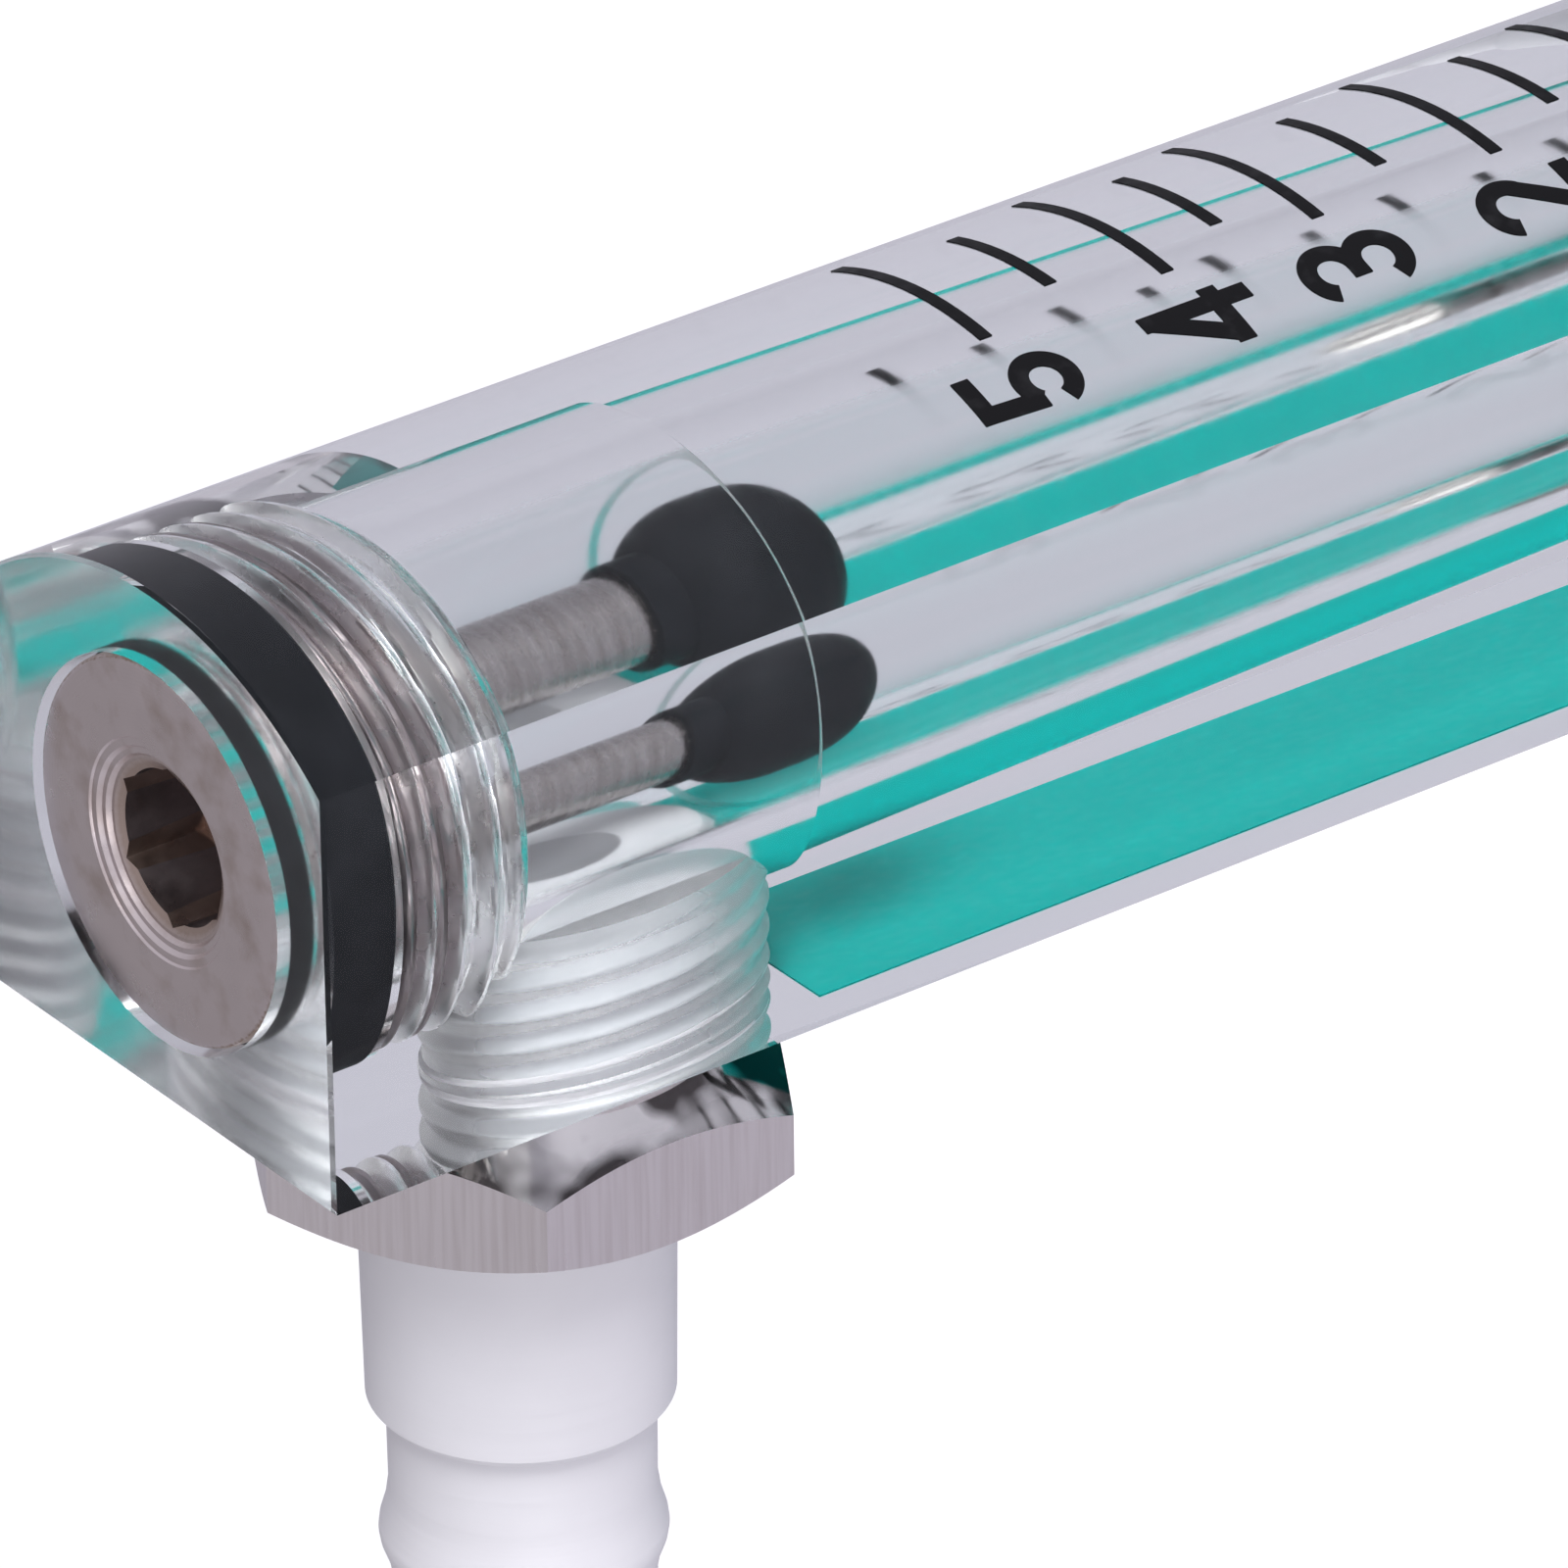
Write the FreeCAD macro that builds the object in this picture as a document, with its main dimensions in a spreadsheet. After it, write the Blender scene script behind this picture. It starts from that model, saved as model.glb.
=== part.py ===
"""Clear acrylic panel rotameter: a D-shaped block with a tapered tube bored through it, a float,
a hexagon-socket plug with a cushioned float stop at each end, and a threaded hose barb with a
panel nut behind each end.

Frame: Z is up along the tube, the outlet end is up, the rounded front looks towards -Y and the
fittings point towards +Y. The origin is on the flat back face, midway between the two fittings.
"""
import FreeCAD, Part
import math
import os
import re
import Sketcher

V = FreeCAD.Vector

SIZES = {
    # acrylic block
    "body_length": 155.0,
    "body_width": 30.0,
    "side_depth": 24.0,
    "body_depth": 29.5,
    "bore_depth": 14.2,
    "edge_break": 0.3,
    # chambers at both ends of the bore
    "seat_diameter": 21.5,
    "seat_depth": 6.3,
    "plug_thread_diameter": 20.955,
    "thread_clearance": 0.05,
    "chamber_thread_depth": 14.5,
    "chamber_diameter": 18.0,
    "chamber_depth": 33.5,
    "tube_outlet_diameter": 17.0,
    "tube_inlet_diameter": 13.0,
    # ports in the back face
    "port_inset": 22.0,
    "port_thread_diameter": 20.955,
    "port_depth": 8.8,
    # end plug
    "plug_recess": 0.3,
    "plug_rim_diameter": 21.0,
    "plug_rim_thickness": 1.4,
    "plug_groove_diameter": 15.6,
    "plug_length": 11.2,
    "plug_edge_break": 0.4,
    "socket_flats": 8.0,
    "socket_depth": 5.6,
    "socket_mouth_diameter": 12.4,
    "socket_mouth_depth": 0.9,
    # plug seal
    "seal_length": 4.3,
    "seal_edge": 0.4,
    "seal_clearance": 0.02,
    "seal_play": 0.05,
    # float stop
    "rod_diameter": 6.0,
    "rod_seat_depth": 4.0,
    "press_clearance": 0.01,
    "bumper_diameter": 11.8,
    "bumper_length": 10.8,
    "bumper_reach": 41.4,
    "bumper_tip": 4.4,
    "bumper_dome": 5.6,
    "bumper_shoulder": 3.8,
    "bumper_collar_diameter": 7.2,
    "bumper_collar_length": 1.9,
    # float
    "float_diameter": 12.2,
    "float_length": 13.0,
    "float_head_height": 2.2,
    "float_neck_diameter": 9.6,
    "float_skirt_diameter": 11.2,
    "float_skirt_start": 4.4,
    "float_cone_height": 3.2,
    "float_nose_diameter": 6.0,
    "float_head_bevel": 0.5,
    "float_stop_gap": 0.3,
    # hose fitting
    "shank_diameter": 20.855,
    "shank_inside": 7.0,
    "shank_outside": 9.9,
    "shank_bevel": 0.8,
    "stem_root_diameter": 16.9,
    "stem_tip_diameter": 16.36,
    "stem_end": 25.7,
    "neck_diameter": 14.3,
    "barb_diameter": 15.4,
    "barb_valley_diameter": 13.9,
    "barb_first_height": 34.0,
    "barb_pitch": 7.2,
    "barb_count": 3,
    "barb_rise": 3.2,
    "barb_crest": 0.8,
    "nose_length": 2.2,
    "nose_diameter": 12.6,
    "flow_bore_diameter": 9.0,
    # panel nut
    "nut_flats": 27.3,
    "nut_thickness": 7.4,
    "nut_gap": 3.0,
    "nut_clearance": 0.06,
    "nut_face_diameter": 22.6,
    "nut_back_diameter": 27.3,
    "nut_bevel_angle": 30.0,
    # printed scale and band
    "print_thickness": 0.06,
    "mark_5": 49.9,
    "mark_4": 61.8,
    "mark_3": 71.8,
    "mark_2": 83.8,
    "mark_1": 95.2,
    "mark_lowest": 100.8,
    "mark_width": 0.8,
    "mark_long": 12.8,
    "mark_short": 8.4,
    "mark_offset": 2.3,
    "digit_height": 7.0,
    "digit_stroke": 1.1,
    "digit_offset": 8.2,
    "digit_lift": 0.55,
    "band_margin": 4.9,
    "band_inset": 32.5,
}

# Rise of the front arc over the side walls, and the arc's radius.
FRONT_RISE = "(body_depth - side_depth)"
FRONT_RADIUS = f"((body_width / 2)^2 + {FRONT_RISE}^2) / (2 * {FRONT_RISE})"

# Numerals from the top of the scale down. All places and radii are shares of the height: a line
# runs from x, y to x, y, and an arch has its centre x, y, its radius and its two end angles.
NUMERALS = ("5", "4", "3", "2", "1")
NUMERAL_WIDTH = 0.58
NUMERAL_LINES = {
    "1": [(0.33, 0.08, 0.33, 0.92), (0.17, 0.76, 0.295, 0.885)],
    "2": [(0.44, 0.57, 0.08, 0.08), (0.08, 0.08, 0.49, 0.08)],
    "3": [(0.26, 0.50, 0.29, 0.50)],
    "4": [(0.43, 0.08, 0.43, 0.92), (0.40, 0.88, 0.09, 0.33), (0.07, 0.30, 0.50, 0.30)],
    "5": [(0.15, 0.92, 0.46, 0.92), (0.15, 0.92, 0.13, 0.48)],
}
NUMERAL_ARCHES = {
    "1": [],
    "2": [(0.29, 0.71, 0.21, -42, 165)],
    "3": [(0.29, 0.71, 0.21, -90, 158), (0.29, 0.29, 0.21, -158, 90)],
    "4": [],
    "5": [(0.29, 0.29, 0.21, -158, 140)],
}

doc = FreeCAD.newDocument("rotameter")


def make_sheet():
    """The driving dimensions, one named cell each, in millimetres (the bevel angle in degrees)."""
    sheet = doc.addObject("Spreadsheet::Sheet", "Sizes")
    for row, (name, size) in enumerate(SIZES.items(), start=1):
        sheet.set(f"A{row}", name)
        sheet.set(f"B{row}", str(size))
        sheet.setAlias(f"B{row}", name)
    doc.recompute()
    return sheet


sheet = make_sheet()
volumes = {}


def bound(text):
    """An expression in which every sheet name is written in full."""
    return re.sub(r"\b(" + "|".join(SIZES) + r")\b", r"Sizes.\1", text)


def size(text):
    """The present value of an expression in sheet names."""
    return float(sheet.evalExpression(text))


# ---------------------------------------------------------------- sketch and feature helpers

def new_body(label):
    body = doc.addObject("PartDesign::Body", label)
    body.Label = label
    return body


def new_sketch(body, role, name, offset=None):
    """A sketch on one of the body's own origin planes, moved along its normal by offset."""
    sketch = body.newObject("Sketcher::SketchObject", name)
    plane = next(item for item in body.Origin.OriginFeatures if item.Role == role)
    sketch.AttachmentSupport = [(plane, "")]
    sketch.MapMode = "FlatFace"
    if offset:
        sketch.setExpression("AttachmentOffset.Base.z", bound(offset))
    return sketch


def pin_point(sketch, curve, end, x_text, y_text):
    """Bind one end of a curve to a place given by two expressions."""
    point = sketch.getPoint(curve, end)
    for kind, now, text in (("DistanceX", point.x, x_text), ("DistanceY", point.y, y_text)):
        row = sketch.addConstraint(Sketcher.Constraint(kind, curve, end, now))
        sketch.setExpression(f"Constraints[{row}]", bound(text))


def polygon(sketch, corners):
    """A closed outline through corners, each a pair of expressions."""
    points = [V(size(x_text), size(y_text), 0) for x_text, y_text in corners]
    first = sketch.GeometryCount
    for here, there in zip(points, points[1:] + points[:1]):
        sketch.addGeometry(Part.LineSegment(here, there))
    for step, (x_text, y_text) in enumerate(corners):
        before = first + (step - 1) % len(corners)
        sketch.addConstraint(Sketcher.Constraint("Coincident", before, 2, first + step, 1))
        pin_point(sketch, first + step, 1, x_text, y_text)


def circle(sketch, x_text, y_text, diameter_text):
    row = sketch.addGeometry(Part.Circle(V(size(x_text), size(y_text), 0), V(0, 0, 1),
                                         size(diameter_text) / 2))
    pin_point(sketch, row, 3, x_text, y_text)
    rule = sketch.addConstraint(Sketcher.Constraint("Diameter", row, size(diameter_text)))
    sketch.setExpression(f"Constraints[{rule}]", bound(diameter_text))


def finish_feature(body, feature):
    """Recompute, and stop if a feature that should add or cut material did neither."""
    doc.recompute()
    if abs(feature.Shape.Volume - volumes.get(body.Label, 0.0)) < 1e-3:
        raise RuntimeError(f"{body.Label}: {feature.Name} changes nothing")
    volumes[body.Label] = feature.Shape.Volume
    body.Tip = feature
    return feature


def turn(body, name, corners, cut=False, role="XZ_Plane"):
    """Turn an outline, given as radius and height, about the body's own Z axis."""
    sketch = new_sketch(body, role, name + "_outline")
    polygon(sketch, corners)
    kind = "PartDesign::Groove" if cut else "PartDesign::Revolution"
    feature = body.newObject(kind, name)
    feature.Profile = sketch
    feature.ReferenceAxis = (sketch, ["V_Axis"])
    feature.Angle = 360
    return finish_feature(body, feature)


def pad(body, name, sketch, length_text, symmetric=False):
    feature = body.newObject("PartDesign::Pad", name)
    feature.Profile = sketch
    feature.setExpression("Length", bound(length_text))
    if symmetric:
        feature.SideType = "Symmetric"
    return finish_feature(body, feature)


def pocket(body, name, sketch, depth_text, reverse=False):
    feature = body.newObject("PartDesign::Pocket", name)
    feature.Profile = sketch
    feature.setExpression("Length", bound(depth_text))
    feature.Reversed = reverse
    return finish_feature(body, feature)


def rims_at(feature, radius_text, height_text):
    """The feature's round edges of one radius about the body's Z axis, at one height."""
    radius, height = size(radius_text), size(height_text)
    return [edge for edge in feature.Shape.Edges
            if isinstance(edge.Curve, Part.Circle)
            and abs(edge.Curve.Radius - radius) < 1e-6
            and abs(edge.Curve.Center.z - height) < 1e-6]


def round_rims(body, feature, name, rims, radius_text):
    """Round those edges of a turned feature that are full circles."""
    rows = [f"Edge{row}" for row, edge in enumerate(feature.Shape.Edges, start=1)
            if isinstance(edge.Curve, Part.Circle) and any(edge.isSame(rim) for rim in rims)]
    rounding = body.newObject("PartDesign::Fillet", name)
    rounding.Base = (feature, rows)
    rounding.setExpression("Radius", bound(radius_text))
    return finish_feature(body, rounding)


def hexagon(flats_text):
    """Corners of a hexagon of the given width across flats, with two flats along Y."""
    half = f"({flats_text}) / 2"
    reach = f"({flats_text}) / 2 * tan(30)"
    long_reach = f"({flats_text}) / 2 / cos(30)"
    return [(half, f"-{reach}"), (half, reach), ("0", long_reach),
            (f"-{half}", reach), (f"-{half}", f"-{reach}"), ("0", f"-{long_reach}")]


# ---------------------------------------------------------------- acrylic block

def make_block():
    """The block, in a frame whose Z axis is the bore: the back face is at +bore_depth."""
    body = new_body("body")
    sketch = new_sketch(body, "XY_Plane", "section")
    side, back = "body_width / 2", "bore_depth"
    front = "bore_depth - side_depth"
    polygon_open = [(f"-{side}", front), (f"-{side}", back), (side, back), (side, front)]
    points = [V(size(x_text), size(y_text), 0) for x_text, y_text in polygon_open]
    for here, there in zip(points, points[1:]):
        sketch.addGeometry(Part.LineSegment(here, there))
    apex = V(0, size("bore_depth - body_depth"), 0)
    arc = sketch.addGeometry(Part.Arc(points[0], apex, points[3]))
    left_end, right_end = (1, 2) if sketch.getPoint(arc, 1).x < 0 else (2, 1)
    sketch.addConstraint(Sketcher.Constraint("Coincident", 0, 2, 1, 1))
    sketch.addConstraint(Sketcher.Constraint("Coincident", 1, 2, 2, 1))
    sketch.addConstraint(Sketcher.Constraint("Coincident", arc, left_end, 0, 1))
    sketch.addConstraint(Sketcher.Constraint("Coincident", arc, right_end, 2, 2))
    for line, (x_text, y_text) in enumerate(polygon_open[:3]):
        pin_point(sketch, line, 1, x_text, y_text)
    pin_point(sketch, 2, 2, *polygon_open[3])
    rule = sketch.addConstraint(Sketcher.Constraint("Radius", arc, size(FRONT_RADIUS)))
    sketch.setExpression(f"Constraints[{rule}]", bound(FRONT_RADIUS))
    block = pad(body, "block", sketch, "body_length", symmetric=True)

    end = "body_length / 2"
    rims = [f"Edge{row}" for row, edge in enumerate(block.Shape.Edges, start=1)
            if all(abs(abs(corner.Z) - size(end)) < 1e-6 for corner in edge.Vertexes)
            and abs(abs(edge.CenterOfMass.z) - size(end)) < 1e-6]
    bevel = body.newObject("PartDesign::Chamfer", "end_bevels")
    bevel.Base = (block, rims)
    bevel.setExpression("Size", bound("edge_break"))
    finish_feature(body, bevel)

    seat = "seat_diameter / 2"
    thread = "plug_thread_diameter / 2 + thread_clearance"
    chamber = "chamber_diameter / 2"
    turn(body, "bore", [
        ("0", end), (seat, end),
        (seat, f"{end} - seat_depth"), (thread, f"{end} - seat_depth"),
        (thread, f"{end} - chamber_thread_depth"), (chamber, f"{end} - chamber_thread_depth"),
        (chamber, f"{end} - chamber_depth"), ("tube_outlet_diameter / 2", f"{end} - chamber_depth"),
        ("tube_inlet_diameter / 2", f"chamber_depth - {end}"), (chamber, f"chamber_depth - {end}"),
        (chamber, f"chamber_thread_depth - {end}"), (thread, f"chamber_thread_depth - {end}"),
        (thread, f"seat_depth - {end}"), (seat, f"seat_depth - {end}"),
        (seat, f"-{end}"), ("0", f"-{end}"),
    ], cut=True)

    ports = new_sketch(body, "XZ_Plane", "port_circles", offset="-bore_depth")
    for side_sign in ("", "-"):
        circle(ports, "0", f"{side_sign}({end} - port_inset)", "port_thread_diameter")
    pocket(body, "ports", ports, "port_depth", reverse=True)
    body.setExpression("Placement.Base.y", bound("-bore_depth"))
    return body


# ---------------------------------------------------------------- end plug, seal and float stop

def place_on_bore(piece, end):
    """Put a piece whose own frame has Z pointing out of the block's end on the bore's axis."""
    piece.setExpression("Placement.Base.y", bound("-bore_depth"))
    if end == "outlet":
        piece.setExpression("Placement.Base.z", bound("body_length / 2"))
    else:
        piece.Placement.Rotation = FreeCAD.Rotation(V(0, 1, 0), 180)
        piece.setExpression("Placement.Base.z", bound("-body_length / 2"))


GROOVE_TOP = "-plug_recess - plug_rim_thickness"
GROOVE_FOOT = f"{GROOVE_TOP} - seal_length - 2 * seal_play"


def make_plug(end):
    """Plated plug, in a frame with the block's end face at Z = 0 and Z pointing outwards."""
    body = new_body(f"{end}_plug")
    face = "-plug_recess"
    rim, thread = "plug_rim_diameter / 2", "plug_thread_diameter / 2"
    groove = "plug_groove_diameter / 2"
    turn(body, "blank", [
        ("0", face), (f"{rim} - plug_edge_break", face), (rim, f"{face} - plug_edge_break"),
        (rim, GROOVE_TOP), (groove, GROOVE_TOP), (groove, GROOVE_FOOT), (thread, GROOVE_FOOT),
        (thread, "plug_edge_break - plug_length"), (f"{thread} - plug_edge_break", "-plug_length"),
        ("0", "-plug_length"),
    ])
    turn(body, "socket_mouth", [
        ("0", face), ("socket_mouth_diameter / 2", face),
        ("socket_flats / 2", f"{face} - socket_mouth_depth"),
        ("0", f"{face} - socket_mouth_depth"),
    ], cut=True)
    socket = new_sketch(body, "XY_Plane", "socket_outline", offset=face)
    polygon(socket, hexagon("socket_flats"))
    pocket(body, "socket", socket, "socket_depth")
    turn(body, "rod_seat", [
        ("0", "-plug_length"), ("rod_diameter / 2 + press_clearance", "-plug_length"),
        ("rod_diameter / 2 + press_clearance", "rod_seat_depth - plug_length"),
        ("0", "rod_seat_depth - plug_length"),
    ], cut=True)
    place_on_bore(body, end)
    return body


def make_plug_seal(end):
    """Flat rubber ring with rounded edges in the plug's groove, bearing on the seat's wall."""
    body = new_body(f"{end}_plug_seal")
    inside = "plug_groove_diameter / 2 + seal_clearance"
    outside = "seat_diameter / 2 - seal_clearance"
    top, foot = f"{GROOVE_TOP} - seal_play", f"{GROOVE_FOOT} + seal_play"
    ring = turn(body, "ring", [(inside, top), (outside, top), (outside, foot), (inside, foot)])
    round_rims(body, ring, "edge_rounds", ring.Shape.Edges, "seal_edge")
    place_on_bore(body, end)
    return body


ROD_REACH = "bumper_reach - bumper_tip"


def make_stop_rod(end):
    """Steel pin pressed into the plug, which carries the rubber bumper."""
    body = new_body(f"{end}_stop_rod")
    turn(body, "pin", [
        ("0", "rod_seat_depth - plug_length"), ("rod_diameter / 2", "rod_seat_depth - plug_length"),
        ("rod_diameter / 2", f"-({ROD_REACH})"), ("0", f"-({ROD_REACH})"),
    ])
    place_on_bore(body, end)
    return body


def make_bumper(end):
    """Rubber ball with a collar, pushed on the pin."""
    body = new_body(f"{end}_stop_bumper")
    outside, top = "bumper_diameter / 2", "bumper_length - bumper_reach"
    blank = turn(body, "blank", [("0", top), (outside, top), (outside, "-bumper_reach"),
                                 ("0", "-bumper_reach")])
    tip_rims = rims_at(blank, outside, "-bumper_reach")
    dome = round_rims(body, blank, "dome", tip_rims, "bumper_dome")
    round_rims(body, dome, "shoulder", rims_at(dome, outside, top), "bumper_shoulder")
    collar, start = "bumper_collar_diameter / 2", f"{top} + bumper_collar_length"
    turn(body, "collar", [("0", start), (collar, start), (collar, f"{top} - bumper_shoulder"),
                          ("0", f"{top} - bumper_shoulder")])
    hole = "rod_diameter / 2 + press_clearance"
    foot = f"-({ROD_REACH})"
    turn(body, "pin_hole", [("0", start), (hole, start), (hole, foot), ("0", foot)], cut=True)
    place_on_bore(body, end)
    return body


# ---------------------------------------------------------------- float

def make_float():
    """Steel float, resting just above the lower bumper; its head's top edge reads the scale."""
    body = new_body("float")
    head = "float_diameter / 2"
    skirt = "float_skirt_diameter / 2"
    neck = "float_neck_diameter / 2"
    turn(body, "spindle", [
        ("0", "0"), ("float_nose_diameter / 2", "0"), (skirt, "float_cone_height"),
        (skirt, "float_length - float_skirt_start"),
        (neck, "float_length - float_skirt_start"),
        (neck, "float_length - float_head_height"), (head, "float_length - float_head_height"),
        (head, "float_length - float_head_bevel"), (f"{head} - float_head_bevel", "float_length"),
        ("0", "float_length"),
    ])
    body.setExpression("Placement.Base.y", bound("-bore_depth"))
    body.setExpression("Placement.Base.z",
                       bound("bumper_reach + float_stop_gap - body_length / 2"))
    return body


# ---------------------------------------------------------------- hose fitting and panel nut

def place_on_port(piece, end):
    """Put a piece whose own frame has Z pointing out of the back face on its port's axis."""
    piece.Placement.Rotation = FreeCAD.Rotation(V(1, 0, 0), -90)
    height = "body_length / 2 - port_inset"
    piece.setExpression("Placement.Base.z", bound(height if end == "outlet" else f"-({height})"))


def barb_outline():
    """Radius and height along the barb, crest by crest, from the neck to the nose."""
    crest, valley = "barb_diameter / 2", "barb_valley_diameter / 2"
    corners = []
    for turn_number in range(int(size("barb_count"))):
        middle = f"barb_first_height + {turn_number} * barb_pitch"
        start = "neck_diameter / 2" if turn_number == 0 else valley
        corners += [(start, f"{middle} - barb_rise"), (crest, f"{middle} - barb_crest / 2"),
                    (crest, f"{middle} + barb_crest / 2")]
        if turn_number < int(size("barb_count")) - 1:
            corners += [(valley, f"{middle} + barb_pitch - barb_rise - barb_crest / 2")]
    last = "barb_first_height + (barb_count - 1) * barb_pitch + barb_crest / 2 + nose_length"
    corners += [("nose_diameter / 2", last), ("flow_bore_diameter / 2", last)]
    return corners


def make_fitting(end):
    """White plastic fitting: threaded shank, tapered stem and hose barb, with a flow bore."""
    body = new_body(f"{end}_fitting")
    shank, stem = "shank_diameter / 2", "stem_root_diameter / 2"
    bore = "flow_bore_diameter / 2"
    turn(body, "moulding", [
        (bore, "-shank_inside"), (f"{shank} - shank_bevel", "-shank_inside"),
        (shank, "shank_bevel - shank_inside"), (shank, "shank_outside"), (stem, "shank_outside"),
        ("stem_tip_diameter / 2", "stem_end"), ("neck_diameter / 2", "stem_end"),
    ] + barb_outline())
    place_on_port(body, end)
    return body


def make_nut(end):
    """Plated hexagon nut with its corners bevelled at both ends, wider at the panel side."""
    body = new_body(f"{end}_nut")
    outline = new_sketch(body, "XY_Plane", "hexagon", offset="nut_gap")
    polygon(outline, hexagon("nut_flats"))
    pad(body, "blank", outline, "nut_thickness")
    far = "nut_gap + nut_thickness"
    face, back, outside = "nut_face_diameter / 2", "nut_back_diameter / 2", "nut_flats"
    turn(body, "front_bevel", [
        (face, "nut_gap"), (outside, "nut_gap"),
        (outside, f"nut_gap + ({outside} - {face}) * tan(nut_bevel_angle)"),
    ], cut=True)
    turn(body, "back_bevel", [
        (back, far), (outside, far),
        (outside, f"{far} - ({outside} - {back}) * tan(nut_bevel_angle)"),
    ], cut=True)
    hole = new_sketch(body, "XY_Plane", "hole_outline", offset=far)
    circle(hole, "0", "0", "shank_diameter + 2 * nut_clearance")
    pocket(body, "hole", hole, "nut_thickness")
    place_on_port(body, end)
    return body


# ---------------------------------------------------------------- print

def front_axis():
    """A point on the axis about which the front is round, level with the origin."""
    return V(0, size(f"{FRONT_RADIUS} - body_depth"), 0)


def front_shell():
    """Thin shell that lies on the rounded front, as thick as the print."""
    radius = size(FRONT_RADIUS)
    length = size("body_length")
    foot = front_axis() - V(0, 0, length / 2)
    outer = Part.makeCylinder(radius + size("print_thickness"), length, foot)
    return outer.cut(Part.makeCylinder(radius, length, foot))


def ink_depth():
    """Length of a stroke's prism, which reaches from the front's axis through the shell."""
    return size(f"{FRONT_RADIUS} + 2 * print_thickness")


def bar(start, finish, width, overrun=0.0):
    """Straight square-ended stroke in the XY plane, run past both its points by overrun."""
    along = finish - start
    box = Part.makeBox(along.Length + 2 * overrun, width, ink_depth(), V(-overrun, -width / 2, 0))
    box.rotate(V(0, 0, 0), V(0, 0, 1), math.degrees(math.atan2(along.y, along.x)))
    box.translate(start)
    return box


def bend(centre, radius, first, last, width):
    """Round square-ended stroke in the XY plane, between two angles in degrees."""
    upwards = V(0, 0, 1)
    ring = Part.makeCylinder(radius + width / 2, ink_depth(), centre, upwards, last - first)
    ring = ring.cut(Part.makeCylinder(radius - width / 2, ink_depth(), centre))
    ring.rotate(centre, upwards, first)
    return ring


def numeral(name):
    """Strokes of one numeral, trimmed square to its box, about the box's centre."""
    high, width = size("digit_height"), size("digit_stroke")
    strokes = [bar(V(x1, y1, 0) * high, V(x2, y2, 0) * high, width, overrun=width / 2)
               for x1, y1, x2, y2 in NUMERAL_LINES[name]]
    strokes += [bend(V(x, y, 0) * high, radius * high, first, last, width)
                for x, y, radius, first, last in NUMERAL_ARCHES[name]]
    box = Part.makeBox(NUMERAL_WIDTH * high, high, ink_depth())
    glyph = strokes[0].multiFuse(strokes[1:]).common(box)
    glyph.translate(V(-NUMERAL_WIDTH * high / 2, -high / 2, 0))
    return glyph


def onto_front(prism, height, offset):
    """Stand a prism up on the front's axis at a height and turn it by an arc length."""
    axis = front_axis()
    prism.rotate(V(0, 0, 0), V(1, 0, 0), 90)
    prism.translate(axis + V(0, 0, height))
    prism.rotate(axis, V(0, 0, 1), math.degrees(offset / size(FRONT_RADIUS)))
    return prism


def make_print(label, prisms):
    """Ink on the front: prisms cut down to the thin shell that lies on the rounded face."""
    shell = front_shell()
    pieces = [shell.common(prism) for prism in prisms]
    ink = doc.addObject("Part::Feature", label)
    ink.Label = label
    ink.Shape = Part.makeCompound([solid for piece in pieces for solid in piece.Solids])
    return ink


def mark_height(name):
    return size(f"body_length / 2 - mark_{name}")


def make_ticks():
    """A long mark at each numeral, a short one midway between two, and one at the lowest flow."""
    heights = [mark_height(name) for name in NUMERALS]
    marks = [(height, size("mark_long")) for height in heights]
    marks += [((upper + lower) / 2, size("mark_short"))
              for upper, lower in zip(heights, heights[1:])]
    marks.append((mark_height("lowest"), size("mark_short")))
    prisms = []
    for height, length in marks:
        stroke = bar(V(-length / 2, 0, 0), V(length / 2, 0, 0), size("mark_width"))
        prisms.append(onto_front(stroke, height, size("mark_offset")))
    return make_print("scale_ticks", prisms)


def make_digits():
    prisms = []
    for name in NUMERALS:
        middle = mark_height(name) + size("digit_lift")
        prisms.append(onto_front(numeral(name), middle, -size("digit_offset")))
    return make_print("scale_digits", prisms)


def make_band():
    """Wide green band on the back face, between the two chambers."""
    band = doc.addObject("Part::Box", "back_band")
    band.Label = "back_band"
    band.setExpression("Length", bound("body_width - 2 * band_margin"))
    band.setExpression("Width", bound("print_thickness"))
    band.setExpression("Height", bound("body_length - 2 * band_inset"))
    band.setExpression("Placement.Base.x", bound("band_margin - body_width / 2"))
    band.setExpression("Placement.Base.z", bound("band_inset - body_length / 2"))
    return band


# ---------------------------------------------------------------- assembly and files

def make_all():
    pieces = [make_block(), make_float(), make_ticks(), make_digits(), make_band()]
    for end in ("outlet", "inlet"):
        pieces += [make_plug(end), make_plug_seal(end), make_stop_rod(end), make_bumper(end),
                   make_fitting(end), make_nut(end)]
    return pieces


def check_and_write(pieces):
    doc.recompute()
    for item in doc.Objects:
        if {"Invalid", "Error"} & set(item.State):
            raise RuntimeError(f"{item.Name} failed: {item.State}")
    for piece in pieces:
        if piece.Shape.isNull() or not piece.Shape.isValid():
            raise RuntimeError(f"{piece.Label} has no valid shape")
    os.makedirs("parts", exist_ok=True)
    for piece in pieces:
        piece.Shape.exportStep(f"parts/{piece.Label}.step")
        box = piece.Shape.BoundBox
        print(f"{piece.Label}: {len(piece.Shape.Solids)} solid, {piece.Shape.Volume:.1f} mm3, "
              f"X {box.XMin:.2f}..{box.XMax:.2f} Y {box.YMin:.2f}..{box.YMax:.2f} "
              f"Z {box.ZMin:.2f}..{box.ZMax:.2f}")


check_and_write(make_all())
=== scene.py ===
"""Looks of a clear acrylic panel rotameter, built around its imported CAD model.

Lengths are in millimetres until mesh_object() turns them into metres. The row frame has Z up
along the tube, the rounded front towards -Y and the hose fittings towards +Y.
"""

import math

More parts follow.
